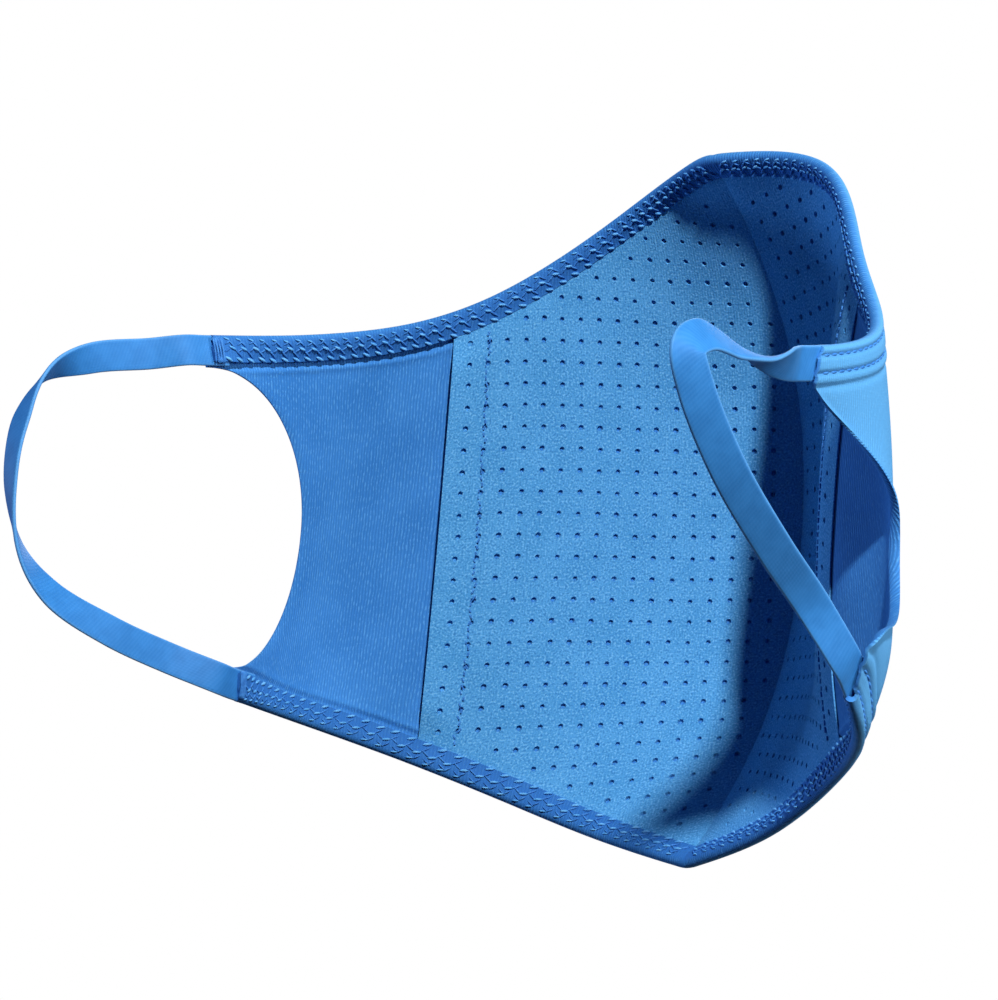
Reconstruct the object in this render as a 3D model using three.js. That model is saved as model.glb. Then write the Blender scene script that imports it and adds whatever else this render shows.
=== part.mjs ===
// A fitted cloth face mask with ear loops, in millimetres.
// +Z is up, -Y is the outside front and +X is the wearer's left. The origin is the inside
// of the top hem at the centre seam, where the mask sits on the bridge of the nose.
//
// Each half is one curved knit panel, from the centre seam back to the ear, with its upper and
// lower edges turned in as hems, a perforated lining inside its front part, and a flat elastic
// loop between the two corners behind.

import * as THREE from 'three';
import * as BufferGeometryUtils from 'three/addons/utils/BufferGeometryUtils.js';

// Thickness of each layer and the clearance between layers
const PANEL_THICKNESS = 1.2;
const LINING_THICKNESS = 1.0;
const HEM_THICKNESS = 1.0;
const LAYER_GAP = 0.5;

const HEM_WIDTH = 6.2;
const SEAM_CLEARANCE = 0.2; // from the centre plane to each half
// Where the lining's free edge lies, from 0 at the seam to 1 at the ear
const LINING_BACK = { upper: 0.555, lower: 0.543 };

// The ear edge is cut back between the corners in a rounded curve. depth is a share of the way from
// ear to seam, and centre is the height of its deepest place, from -1 at the lower hem to 1 at the
// upper. above and below are the powers of the curve on each side of that place: the greater, the
// later it turns in. The left edge lies stretched in a rounder curve than the right one.
const LEFT_EAR_CUT = { depth: 0.19, centre: 0.1, above: 0.5, below: 0.5 };
const RIGHT_EAR_CUT = { depth: 0.24, centre: 0.12, above: 1.4, below: 2.8 };

const SECTION_POWER = 2.3; // 2 is a parabola from hem to hem; more is flatter in the middle

const STRAP_WIDTH = 6;
const STRAP_THICKNESS = 1;
const STRAP_CLEARANCE = 0.5; // from a hem's end to the strap
const STRAP_LEAD = 4.2; // how far the strap runs straight on from there

// How finely the pieces are divided
const PANEL_COLUMNS = 20;
const PANEL_ROWS = 14;
const LINING_COLUMNS = 12;
const LINING_ROWS = 12;
const STRAP_STEPS = 44;

// Sections of each half from the centre seam to the ear: where the upper edge, the middle and the
// lower edge of the outside face lie, as [x, y, z] with x measured outwards. sway is how far the
// upper part swings outwards and the lower part inwards. The right half hangs a little lower than
// the left, and the upper part of its wing curls in.
const SEAM = { place: 'seam', upper: [0, -2.5, 0], middle: [0, -32.5, -69], lower: [0, 6.5, -137] };
const LEFT_SECTIONS = [
  SEAM,
  { place: 'front cheek', upper: [23, -7, -9.1], middle: [25.5, -12, -70], lower: [23.5, 9.5, -131] },
  { place: 'cheek', upper: [44.5, 10.5, -27], middle: [46, 15.5, -71], lower: [47.5, 23, -120] },
  { place: 'wing', upper: [62, 34, -34.4], middle: [68, 34, -75], lower: [65.5, 44, -110] },
  { place: 'ear', upper: [72, 62, -36.7], middle: [68.5, 61, -73], lower: [70, 58, -105] },
];
const RIGHT_SECTIONS = [
  SEAM,
  { place: 'front cheek', upper: [25.3, -6.5, -4], middle: [24.5, -10.5, -68], lower: [23.5, 10, -129.5] },
  { place: 'cheek', upper: [45.6, 10.5, -24], middle: [42, 19, -70], lower: [48, 23, -118.5] },
  { place: 'wing', upper: [63.3, 31, -40.5], middle: [64.4, 31, -82], lower: [67.5, 45, -111.7] },
  { place: 'ear', upper: [70.5, 58.5, -46.5], middle: [71, 58, -80], lower: [73.5, 54.5, -104], sway: -8 },
];

// Each ear loop's way round from its upper corner to its lower one. flare is how far its plane
// turns outwards from straight back, in degrees, and turn is how far the flat strap is twisted
// out of that plane. The right loop has flipped over and ends half a twist round. x is measured
// outwards.
const LEFT_LOOP = {
  flare: 14,
  halfTwist: false,
  way: [
    { x: 75.5, y: 74, z: -39.5, turn: 0 },
    { x: 78.5, y: 86, z: -41, turn: -12 },
    { x: 80.7, y: 95, z: -44.5, turn: -66 },
    { x: 82, y: 100, z: -53, turn: -96 },
    { x: 82.5, y: 102, z: -65, turn: -84 },
    { x: 82, y: 100, z: -77, turn: -54 },
    { x: 80.5, y: 94, z: -85, turn: -24 },
    { x: 77.5, y: 82, z: -92, turn: -4 },
    { x: 74.5, y: 70, z: -97, turn: 0 },
  ],
};
const RIGHT_LOOP = {
  flare: 8,
  halfTwist: true,
  way: [
    { x: 74.4, y: 74.5, z: -50.7, turn: 30 },
    { x: 75.9, y: 83.6, z: -50.6, turn: 100 },
    { x: 77.4, y: 92.9, z: -49.5, turn: 138 },
    { x: 78.7, y: 101.5, z: -48.5, turn: 148 },
    { x: 79.6, y: 106.6, z: -51, turn: 146 },
    { x: 79.1, y: 104, z: -57, turn: 136 },
    { x: 77.6, y: 94.3, z: -68.4, turn: 130 },
    { x: 75.4, y: 79.5, z: -80.3, turn: 130 },
    { x: 73.6, y: 67.2, z: -88.8, turn: 138 },
  ],
};

const COLOURS = {
  panel: new THREE.MeshStandardMaterial({ color: 0x3f82cd, roughness: 0.8, metalness: 0 }),
  lining: new THREE.MeshStandardMaterial({ color: 0x4e99d2, roughness: 0.85, metalness: 0 }),
  hem: new THREE.MeshStandardMaterial({ color: 0x3577c4, roughness: 0.8, metalness: 0 }),
  strap: new THREE.MeshStandardMaterial({ color: 0x3e88cb, roughness: 0.6, metalness: 0 }),
};

// A natural cubic through evenly spaced values, as a function of 0 to 1.
function naturalCubic(values) {
  const last = values.length - 1;
  const bend = new Array(last + 1).fill(0);
  const factor = new Array(last + 1).fill(0);
  for (let i = 1; i < last; i += 1) {
    const pivot = 4 - factor[i - 1];
    factor[i] = 1 / pivot;
    bend[i] = (6 * (values[i + 1] - 2 * values[i] + values[i - 1]) - bend[i - 1]) / pivot;
  }
  for (let i = last - 1; i > 0; i -= 1) {
    bend[i] -= factor[i] * bend[i + 1];
  }
  return (share) => {
    const i = Math.min(Math.max(Math.floor(share * last), 0), last - 1);
    const b = share * last - i;
    const a = 1 - b;
    const curve = ((a ** 3 - a) * bend[i] + (b ** 3 - b) * bend[i + 1]) / 6;
    return a * values[i] + b * values[i + 1] + curve;
  };
}

// The outside face of one half, as point(back, up): back runs from 0 at the seam to 1 at the ear,
// and up from -1 at the lower edge to 1 at the upper edge.
function halfSurface(sections) {
  const lines = {};
  for (const line of ['upper', 'middle', 'lower']) {
    lines[line] = [0, 1, 2].map((axis) => naturalCubic(sections.map((section) => section[line][axis])));
  }
  const at = (line, back) => new THREE.Vector3(...lines[line].map((cubic) => cubic(back)));
  const sway = naturalCubic(sections.map((section) => section.sway ?? 0));

  const point = (back, up) => {
    const upper = at('upper', back);
    const lower = at('lower', back);
    const middle = at('middle', back);
    const halfChord = upper.clone().sub(lower).multiplyScalar(0.5);
    const bulge = upper.clone().add(lower).multiplyScalar(0.5).sub(middle);
    middle.addScaledVector(halfChord, up).addScaledVector(bulge, Math.abs(up) ** SECTION_POWER);
    middle.x += sway(back) * Math.sin(Math.PI * up) * (1 - up ** 2);
    return middle;
  };

  const step = 1e-3;
  const slope = (a, b, span) => b.sub(a).divideScalar(span);
  const backwards = (back, up) => slope(point(back - step, up), point(back + step, up), 2 * step);
  const upwards = (back, up) => slope(point(back, up - step), point(back, up + step), 2 * step);
  const outwards = (back, up) => backwards(back, up).cross(upwards(back, up)).normalize();

  // A place at some depth below the outside face. At the seam it keeps to the centre plane.
  const below = (back, up, depth) => {
    const inwards = outwards(back, up).negate();
    if (back < step) {
      inwards.x = 0;
      inwards.divideScalar(inwards.lengthSq());
    }
    const place = point(back, up).addScaledVector(inwards, depth);
    place.x = Math.max(place.x, SEAM_CLEARANCE);
    return place;
  };

  // How far up, as a share, the inner line of the hem lies when it is width wide
  const hemLine = (back, side, width) => side * (1 - width / upwards(back, side).length());

  return { backwards, upwards, outwards, below, hemLine };
}

// How far back the ear edge lies at a height of -1 to 1 between the two hems
function earEdge(cut, height) {
  const isAbove = height > cut.centre;
  const reach = isAbove ? 1 - cut.centre : 1 + cut.centre;
  const fromCentre = (height - cut.centre) / reach;
  return 1 - cut.depth * Math.max(0, 1 - fromCentre ** 2) ** (isAbove ? cut.above : cut.below);
}

// A closed sheet between two grids of points: place(i, j, 0) is its outside face and
// place(i, j, 1) its inside face.
function sheet(columns, rows, place) {
  const positions = [];
  const indices = [];
  const number = (i, j, layer) => (layer * (columns + 1) + i) * (rows + 1) + j;
  for (const layer of [0, 1]) {
    for (let i = 0; i <= columns; i += 1) {
      for (let j = 0; j <= rows; j += 1) {
        positions.push(...place(i, j, layer).toArray());
      }
    }
  }
  const quad = (a, b, c, d) => indices.push(a, b, c, a, c, d);
  for (let i = 0; i < columns; i += 1) {
    for (let j = 0; j < rows; j += 1) {
      quad(number(i, j, 0), number(i + 1, j, 0), number(i + 1, j + 1, 0), number(i, j + 1, 0));
      quad(number(i, j, 1), number(i, j + 1, 1), number(i + 1, j + 1, 1), number(i + 1, j, 1));
    }
    quad(number(i, 0, 0), number(i, 0, 1), number(i + 1, 0, 1), number(i + 1, 0, 0));
    quad(number(i, rows, 0), number(i + 1, rows, 0), number(i + 1, rows, 1), number(i, rows, 1));
  }
  for (let j = 0; j < rows; j += 1) {
    quad(number(0, j, 0), number(0, j + 1, 0), number(0, j + 1, 1), number(0, j, 1));
    quad(number(columns, j, 0), number(columns, j, 1), number(columns, j + 1, 1), number(columns, j + 1, 0));
  }
  const geometry = new THREE.BufferGeometry();
  geometry.setAttribute('position', new THREE.Float32BufferAttribute(positions, 3));
  geometry.setIndex(indices);
  return geometry;
}

// Rows of a panel from the lower edge to the upper: the hems take the first and the last, and the
// ones between crowd towards the hems, where the ear edge turns in quickly.
function panelRow(row) {
  if (row === 0 || row === PANEL_ROWS + 2) {
    return { hem: row === 0 ? -1 : 1, height: 0 };
  }
  return { hem: 0, height: Math.sin(Math.PI * ((row - 1) / PANEL_ROWS - 0.5)) };
}

function outerPanel(surface, earCut) {
  return sheet(PANEL_COLUMNS, PANEL_ROWS + 2, (i, j, layer) => {
    const { hem, height } = panelRow(j);
    const back = (i / PANEL_COLUMNS) * (hem === 0 ? earEdge(earCut, height) : 1);
    const line = surface.hemLine(back, Math.sign(height) || 1, HEM_WIDTH);
    const up = hem === 0 ? Math.abs(line) * height : hem;
    return surface.below(back, up, layer * PANEL_THICKNESS);
  });
}

function lining(surface) {
  return sheet(LINING_COLUMNS, LINING_ROWS, (i, j, layer) => {
    const height = (2 * j) / LINING_ROWS - 1;
    const edge = THREE.MathUtils.mapLinear(height, -1, 1, LINING_BACK.lower, LINING_BACK.upper);
    const back = (i / LINING_COLUMNS) * edge;
    const line = surface.hemLine(back, Math.sign(height) || 1, HEM_WIDTH + LAYER_GAP);
    const depth = PANEL_THICKNESS + LAYER_GAP + layer * LINING_THICKNESS;
    return surface.below(back, Math.abs(line) * height, depth);
  });
}

function hem(surface, side) {
  return sheet(PANEL_COLUMNS, 1, (i, j, layer) => {
    const back = i / PANEL_COLUMNS;
    const atEdge = (j === 1) === (side > 0);
    const up = atEdge ? side : surface.hemLine(back, side, HEM_WIDTH);
    const depth = PANEL_THICKNESS + LAYER_GAP + layer * HEM_THICKNESS;
    return surface.below(back, up, depth);
  });
}

// The flat strap from the end of the upper hem round to the end of the lower one. Its ends follow
// the ends of the hems, half way through the thickness of the edge, and its first and last lengths
// run straight on from them.
function earLoop(surface, loop) {
  const middepth = (PANEL_THICKNESS + LAYER_GAP + HEM_THICKNESS) / 2;
  const flare = THREE.MathUtils.degToRad(loop.flare);
  const square = new THREE.Vector3(Math.cos(flare), -Math.sin(flare), 0);
  const flat = (ahead) => square.clone().cross(ahead).normalize();

  const end = (side) => {
    const up = surface.hemLine(1, side, HEM_WIDTH / 2);
    const along = surface.backwards(1, up).normalize();
    const across = surface.outwards(1, up).cross(along);
    const corner = (atEdge, outside) => {
      const depth = middepth + (outside ? -0.5 : 0.5) * STRAP_THICKNESS;
      const height = atEdge ? side : surface.hemLine(1, side, HEM_WIDTH);
      return surface.below(1, height, depth).addScaledVector(along, STRAP_CLEARANCE);
    };
    const place = surface.below(1, up, middepth).addScaledVector(along, STRAP_CLEARANCE);
    const lead = place.clone().addScaledVector(along, STRAP_LEAD);
    const turn = THREE.MathUtils.radToDeg(Math.atan2(across.dot(square), across.dot(flat(along))));
    return { corner, place, lead, turn };
  };
  const start = end(1);
  const finish = end(-1);
  const points = [
    start.place,
    start.lead,
    ...loop.way.map(({ x, y, z }) => new THREE.Vector3(x, y, z)),
    finish.lead,
    finish.place,
  ];
  const endTurn = (loop.halfTwist ? 180 : 0) - finish.turn;
  const turns = [start.turn, start.turn, ...loop.way.map(({ turn }) => turn), endTurn, endTurn];
  const curve = new THREE.CatmullRomCurve3(points, false, 'centripetal');
  const lastPoint = points.length - 1;

  return sheet(STRAP_STEPS, 1, (i, j, layer) => {
    if (i === 0) {
      return start.corner(j === 1, layer === 0);
    }
    if (i === STRAP_STEPS) {
      return finish.corner((j === 1) !== loop.halfTwist, (layer === 0) !== loop.halfTwist);
    }
    const share = THREE.MathUtils.mapLinear(i, 1, STRAP_STEPS - 1, 1 / lastPoint, 1 - 1 / lastPoint);
    const before = Math.min(Math.floor(share * lastPoint), lastPoint - 1);
    const blend = share * lastPoint - before;
    const turn = THREE.MathUtils.degToRad(THREE.MathUtils.lerp(turns[before], turns[before + 1], blend));
    const ahead = curve.getTangent(share);
    const across = flat(ahead).multiplyScalar(Math.cos(turn)).addScaledVector(square, Math.sin(turn));
    const facing = ahead.clone().cross(across).normalize();
    const place = curve.getPoint(share).addScaledVector(across.normalize(), (j - 0.5) * STRAP_WIDTH);
    return place.addScaledVector(facing, (0.5 - layer) * STRAP_THICKNESS);
  });
}

// Turns a half made on the left into the same piece on the right.
function mirrored(geometry) {
  geometry.scale(-1, 1, 1);
  const order = geometry.index.array;
  for (let i = 0; i < order.length; i += 3) {
    [order[i + 1], order[i + 2]] = [order[i + 2], order[i + 1]];
  }
  return geometry;
}

function piece(name, geometry, material) {
  const mesh = new THREE.Mesh(BufferGeometryUtils.mergeVertices(geometry, 1e-4), material.clone());
  mesh.name = name;
  return mesh;
}

const group = new THREE.Group();
const halves = [
  {
    side: 'left',
    sections: LEFT_SECTIONS,
    earCut: LEFT_EAR_CUT,
    loop: LEFT_LOOP,
    place: (geometry) => geometry,
  },
  {
    side: 'right',
    sections: RIGHT_SECTIONS,
    earCut: RIGHT_EAR_CUT,
    loop: RIGHT_LOOP,
    place: mirrored,
  },
];
for (const { side, sections, earCut, loop, place } of halves) {
  const surface = halfSurface(sections);
  group.add(piece(`outer_panel_${side}`, place(outerPanel(surface, earCut)), COLOURS.panel));
  group.add(piece(`lining_${side}`, place(lining(surface)), COLOURS.lining));
  group.add(piece(`top_hem_${side}`, place(hem(surface, 1)), COLOURS.hem));
  group.add(piece(`bottom_hem_${side}`, place(hem(surface, -1)), COLOURS.hem));
  group.add(piece(`ear_loop_${side}`, place(earLoop(surface, loop)), COLOURS.strap));
}

export default group;
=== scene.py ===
"""A fitted knit face mask in its worn form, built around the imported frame.

Shapes are worked out in millimetres on a half that lies on the wearer's left, and go into the
frame in metres; the right half's are mirrored. On the outside face of a half, back runs from 0
at the centre seam to 1 at the ear, and up from -1 at the lower edge to 1 at the upper edge.
"""

import math

import bpy
import numpy as np
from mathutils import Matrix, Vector


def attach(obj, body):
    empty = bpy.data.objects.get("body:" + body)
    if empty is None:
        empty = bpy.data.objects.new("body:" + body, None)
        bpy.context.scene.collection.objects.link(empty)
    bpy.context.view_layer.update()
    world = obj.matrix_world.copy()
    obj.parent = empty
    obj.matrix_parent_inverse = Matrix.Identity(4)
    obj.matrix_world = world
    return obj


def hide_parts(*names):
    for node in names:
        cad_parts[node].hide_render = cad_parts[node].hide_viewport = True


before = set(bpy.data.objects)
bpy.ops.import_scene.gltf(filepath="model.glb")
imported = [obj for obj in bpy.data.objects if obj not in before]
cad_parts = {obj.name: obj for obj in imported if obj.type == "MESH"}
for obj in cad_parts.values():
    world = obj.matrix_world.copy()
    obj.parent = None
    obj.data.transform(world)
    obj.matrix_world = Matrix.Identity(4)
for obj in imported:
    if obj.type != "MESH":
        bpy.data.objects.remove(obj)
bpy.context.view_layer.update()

MM = 0.001

# ------------------------------------------------------------------ sizes, in millimetres
KNIT = 0.65  # thickness of the outer knit
FOLD_RADIUS = 1.1  # of a turned edge, outside
HEM_WIDTH = 6.2
TURN_IN = 5.3  # how much of the knit is turned in
HEM_PINCH = 0.75  # how far the stitching presses the turned edge down
HEM_PUFF = 0.3  # how far the doubled edge stands out
CORNER = 1.4  # how far a hem's end rounds in towards the fold
NEEDLE_ROWS = (1.7, 4.7)  # straight stitching on a hem's outside, from its edge
STITCH = 2.6
ROLL_WIDTH = 1.8  # of the knit's cut edge at the ear, which rolls outwards
EDGE_ROLL = {"left": 20, "right": 90}  # how far round it goes, in degrees
KNIT_LENGTH = 124  # from seam to ear

LINING_DEPTH = 0.8  # below the outside face
LINING = 0.5
LINING_FOLLOW = 0.8  # share of the knit's waves that it takes up
LINING_TUCK = 3.0  # how far from the edge the lining ends under the hem
LINING_HEM = 7.4  # turned width along the lining's free edge
LINING_LIFT = {"left": 1.3, "right": 0.0}  # how far the free edge stands off the knit
LINING_EDGE = {"left": 1.0, "right": 0.3}  # share of its thickness that is left at the free edge
HOLE_PITCH = (3.95, 4.3)  # across and along the lining
HOLE_RADIUS = 0.42  # at the bottom of a hole, which widens towards the face
HOLE_FLARE = 1.35
FIRST_HOLES = 3.6  # from the free edge
HOLE_CLEARANCE = 1.2  # from the hems to the nearest holes
HOLE_SHIFT = 0.12  # how far a hole strays from its place
LEAN = 1.5  # of the rows of holes, in degrees

STRAP_WIDTH = 6.0
STRAP_THICKNESS = 0.75
STRAP_TUCK = 4.5  # how far the strap goes in between the layers of the hem
STRAP_CLEARANCE = 0.5  # from a hem's end to where the strap's free length starts
STRAP_LEAD = 4.2  # how far the strap runs straight on from there

SEAM_CLEARANCE = 0.002  # from the centre plane to each half
# Where the lining's free edge lies, from 0 at the seam to 1 at the ear
LINING_BACK = {"upper": 0.555, "lower": 0.543}
# The ear edge's depth as a share of the way to the seam, the height of its deepest place, and the
# powers of its curve above and below that
LEFT_EAR_CUT = {"depth": 0.19, "centre": 0.1, "above": 0.5, "below": 0.5}
RIGHT_EAR_CUT = {"depth": 0.24, "centre": 0.12, "above": 1.4, "below": 2.8}
SECTION_POWER = 2.3  # 2 is a parabola from hem to hem; more is flatter in the middle
NOSE_ROUNDING = 0.045  # how far from the seam the top edge rounds over, as a share of the way back

# Sections of each half at the seam, the front cheek, the cheek, the wing and the ear: x, y, z of the
# upper edge, the middle and the lower edge. sway swings the upper part out and the lower part in.
SEAM = {"upper": (0, -2.5, 0), "middle": (0, -32.5, -69), "lower": (0, 6.5, -137)}
LEFT_SECTIONS = (
    SEAM,
    {"upper": (23, -7, -9.1), "middle": (25.5, -12, -70), "lower": (23.5, 9.5, -131)},
    {"upper": (44.5, 10.5, -27), "middle": (46, 15.5, -71), "lower": (47.5, 23, -120)},
    {"upper": (62, 34, -34.4), "middle": (68, 34, -75), "lower": (65.5, 44, -110)},
    {"upper": (72, 62, -36.7), "middle": (68.5, 61, -73), "lower": (70, 58, -105)},
)
RIGHT_SECTIONS = (
    SEAM,
    {"upper": (25.3, -6.5, -4), "middle": (24.5, -10.5, -68), "lower": (23.5, 10, -129.5)},
    {"upper": (45.6, 10.5, -24), "middle": (42, 19, -70), "lower": (48, 23, -118.5)},
    {"upper": (63.3, 31, -40.5), "middle": (64.4, 31, -82), "lower": (67.5, 45, -111.7)},
    {"upper": (70.5, 58.5, -46.5), "middle": (71, 58, -80), "lower": (73.5, 54.5, -104), "sway": -8},
)
# Each ear loop's way round: flare is how far its plane turns outwards, and turn how far the strap is
# twisted out of that plane, in degrees. half_twist is for a loop that has flipped over.
LEFT_LOOP = {
    "flare": 14,
    "half_twist": False,
    "way": (  # x, y, z, turn
        (75.5, 74, -39.5, 0),
        (78.5, 86, -41, -12),
        (80.7, 95, -44.5, -66),
        (82, 100, -53, -96),
        (82.5, 102, -65, -84),
        (82, 100, -77, -54),
        (80.5, 94, -85, -24),
        (77.5, 82, -92, -4),
        (74.5, 70, -97, 0),
    ),
}
RIGHT_LOOP = {
    "flare": 8,
    "half_twist": True,
    "way": (
        (74.4, 74.5, -50.7, 30),
        (75.9, 83.6, -50.6, 100),
        (77.4, 92.9, -49.5, 138),
        (78.7, 101.5, -48.5, 148),
        (79.6, 106.6, -51, 146),
        (79.1, 104, -57, 136),
        (77.6, 94.3, -68.4, 130),
        (75.4, 79.5, -80.3, 130),
        (73.6, 67.2, -88.8, 138),
    ),
}


# ------------------------------------------------------------------ curves and surfaces
def natural_cubic(values):
    """A natural cubic through evenly spaced values, as a function of 0 to 1."""
    values = np.array(values, float)
    last = len(values) - 1
    system = np.eye(last + 1)
    change = np.zeros_like(values)
    for i in range(1, last):
        system[i, i - 1:i + 2] = 1, 4, 1
        change[i] = 6 * (values[i + 1] - 2 * values[i] + values[i - 1])
    bend = np.linalg.solve(system, change)

    def curve(share):
        i = np.clip(np.floor(share * last).astype(int), 0, last - 1)
        b = share * last - i
        a = 1 - b
        return (a * values[i] + b * values[i + 1]
                + ((a**3 - a) * bend[i] + (b**3 - b) * bend[i + 1]) / 6)

    return curve


def length(vectors):
    return np.linalg.norm(vectors, axis=-1, keepdims=True)


def unit(vectors):
    return vectors / np.maximum(length(vectors), 1e-9)


def smooth(low, high, value):
    """0 below low, 1 above high, and an even curve between."""
    share = np.clip((value - low) / (high - low), 0, 1)
    return share * share * (3 - 2 * share)


class Half:
    """The curved face of one half, and where cloth lies on it."""

    TABLE = (121, 161)  # samples of the cloth's own lengths, backwards and upwards

    def __init__(self, name, side, sections, ear_cut, loop):
        self.name = name
        self.side = side
        self.ear_cut = ear_cut
        self.loop = loop
        self.lines = {}
        for line in ("upper", "middle", "lower"):
            self.lines[line] = [natural_cubic([s[line][axis] for s in sections]) for axis in range(3)]
        self.sway = natural_cubic([s.get("sway", 0) for s in sections])
        back, up = np.meshgrid(np.linspace(0, 1, self.TABLE[0]), np.linspace(-1, 1, self.TABLE[1]),
                               indexing="ij")
        points = self.point(back, up)
        across = np.cumsum(length(np.diff(points, axis=0))[..., 0], axis=0)
        self.across_table = np.vstack([np.zeros((1, self.TABLE[1])), across])
        along = np.cumsum(length(np.diff(points, axis=1))[..., 0], axis=1)
        along = np.hstack([np.zeros((self.TABLE[0], 1)), along])
        self.along_table = along - along[:, self.TABLE[1] // 2, None]

    def at(self, line, back):
        return np.stack([cubic(back) for cubic in self.lines[line]], -1)

    def point(self, back, up):
        back, up = np.broadcast_arrays(np.asarray(back, float), np.asarray(up, float))
        upper, middle, lower = (self.at(line, back) for line in ("upper", "middle", "lower"))
        rounded = self.at("upper", np.sqrt(back**2 + NOSE_ROUNDING**2))
        apex = self.at("upper", np.array(0.0)) - self.at("upper", np.array(NOSE_ROUNDING))
        upper[..., 1:] = rounded[..., 1:] + apex[1:]
        rise = np.abs(up)[..., None] ** SECTION_POWER
        place = middle + up[..., None] * (upper - lower) / 2 + rise * ((upper + lower) / 2 - middle)
        place[..., 0] += self.sway(back) * np.sin(math.pi * up) * (1 - up**2)
        return place

    def backwards(self, back, up, step=1e-3):
        return (self.point(back + step, up) - self.point(back - step, up)) / (2 * step)

    def upwards(self, back, up, step=1e-3):
        return (self.point(back, up + step) - self.point(back, up - step)) / (2 * step)

    def outwards(self, back, up):
        return unit(np.cross(self.backwards(back, up), self.upwards(back, up)))

    def below(self, back, up, depth):
        """Places at some depth below the outside face. At the seam they keep to the centre plane."""
        back, up, depth = np.broadcast_arrays(*(np.asarray(v, float) for v in (back, up, depth)))
        inwards = -self.outwards(back, up)
        flat = inwards * (0, 1, 1)
        flat /= np.maximum(length(flat) ** 2, 1e-6)
        inwards = inwards + (flat - inwards) * (1 - smooth(0, 0.02, back))[..., None]
        place = self.point(back, up) + inwards * depth[..., None]
        place[..., 0] = np.maximum(place[..., 0], SEAM_CLEARANCE)
        return place

    def from_edge(self, back, side, width):
        """up at some width from the upper (side 1) or lower (side -1) edge."""
        return side * (1 - width / length(self.upwards(back, np.full_like(back, side)))[..., 0])

    def edge_width(self, back, up):
        """How far places lie from the nearer of the upper and lower edges."""
        return (1 - np.abs(up)) * length(self.upwards(back, np.sign(up)))[..., 0]

    def lookup(self, table, back, up):
        i = np.clip(back, 0, 1) * (self.TABLE[0] - 1)
        j = (np.clip(up, -1, 1) + 1) / 2 * (self.TABLE[1] - 1)
        i0 = np.minimum(i.astype(int), self.TABLE[0] - 2)
        j0 = np.minimum(j.astype(int), self.TABLE[1] - 2)
        a, b = i - i0, j - j0
        return ((1 - a) * (1 - b) * table[i0, j0] + a * (1 - b) * table[i0 + 1, j0]
                + (1 - a) * b * table[i0, j0 + 1] + a * b * table[i0 + 1, j0 + 1])

    def cloth(self, back, up):
        """How far the cloth reaches from the seam and from its middle line to a place."""
        back, up = np.broadcast_arrays(back, up)
        return np.stack([self.lookup(self.across_table, back, up),
                         self.lookup(self.along_table, back, up)], -1)


def ear_edge(cut, height):
    """How far back the ear edge lies at a height of -1 to 1 between the two hems."""
    above = height > cut["centre"]
    from_centre = (height - cut["centre"]) / (1 - cut["centre"] if above else 1 + cut["centre"])
    return 1 - cut["depth"] * max(0, 1 - from_centre**2) ** cut["above" if above else "below"]


def centripetal(points, share):
    """Places on a smooth curve through points, as three.js's centripetal Catmull-Rom runs."""
    points = np.asarray(points, float)
    padded = np.vstack([2 * points[0] - points[1], points, 2 * points[-1] - points[-2]])
    run = np.clip(share, 0, 1) * (len(points) - 1)
    i = np.minimum(run.astype(int), len(points) - 2)
    t = (run - i)[:, None]
    p0, p1, p2, p3 = (padded[i + k] for k in range(4))
    d0, d1, d2 = (np.sqrt(length(b - a)) for a, b in ((p0, p1), (p1, p2), (p2, p3)))
    m1 = ((p1 - p0) / d0 - (p2 - p0) / (d0 + d1) + (p2 - p1) / d1) * d1
    m2 = ((p2 - p1) / d1 - (p3 - p1) / (d1 + d2) + (p3 - p2) / d2) * d1
    return (p1 + m1 * t + (3 * (p2 - p1) - 2 * m1 - m2) * t**2
            + (2 * (p1 - p2) + m1 + m2) * t**3)


# ------------------------------------------------------------------ meshes
def grid_faces(columns, rows):
    """Quads of a grid whose points are numbered by column, then row."""
    i, j = np.meshgrid(np.arange(columns - 1), np.arange(rows - 1), indexing="ij")
    a = (i * rows + j).ravel()
    return np.stack([a, a + rows, a + rows + 1, a + 1], -1)


def with_area(faces, points):
    """The quads that have an area: corners pushed onto the same place leave some with none."""
    corners = points[faces]
    diagonals = np.cross(corners[:, 2] - corners[:, 0], corners[:, 3] - corners[:, 1])
    return faces[length(diagonals)[:, 0] > 0.02]


def thickened(front, back, faces):
    """A closed sheet between two sets of points, with walls along every free edge."""
    used = np.unique(faces)
    number = np.full(len(front), -1)
    number[used] = np.arange(len(used))
    faces = number[faces]
    edges = np.concatenate([faces[:, [k, (k + 1) % 4]] for k in range(4)])
    edges = edges[edges[:, 0] != edges[:, 1]]
    seen = {}
    for a, b in edges.tolist():
        seen[(a, b)] = True
    free = np.array([(a, b) for a, b in seen if (b, a) not in seen])
    count = len(used)
    walls = np.stack([free[:, 1], free[:, 0], free[:, 0] + count, free[:, 1] + count], -1)
    everything = np.concatenate([faces, faces[:, ::-1] + count, walls])
    return np.concatenate([front[used], back[used]]), everything, np.tile(used, 2)


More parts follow.
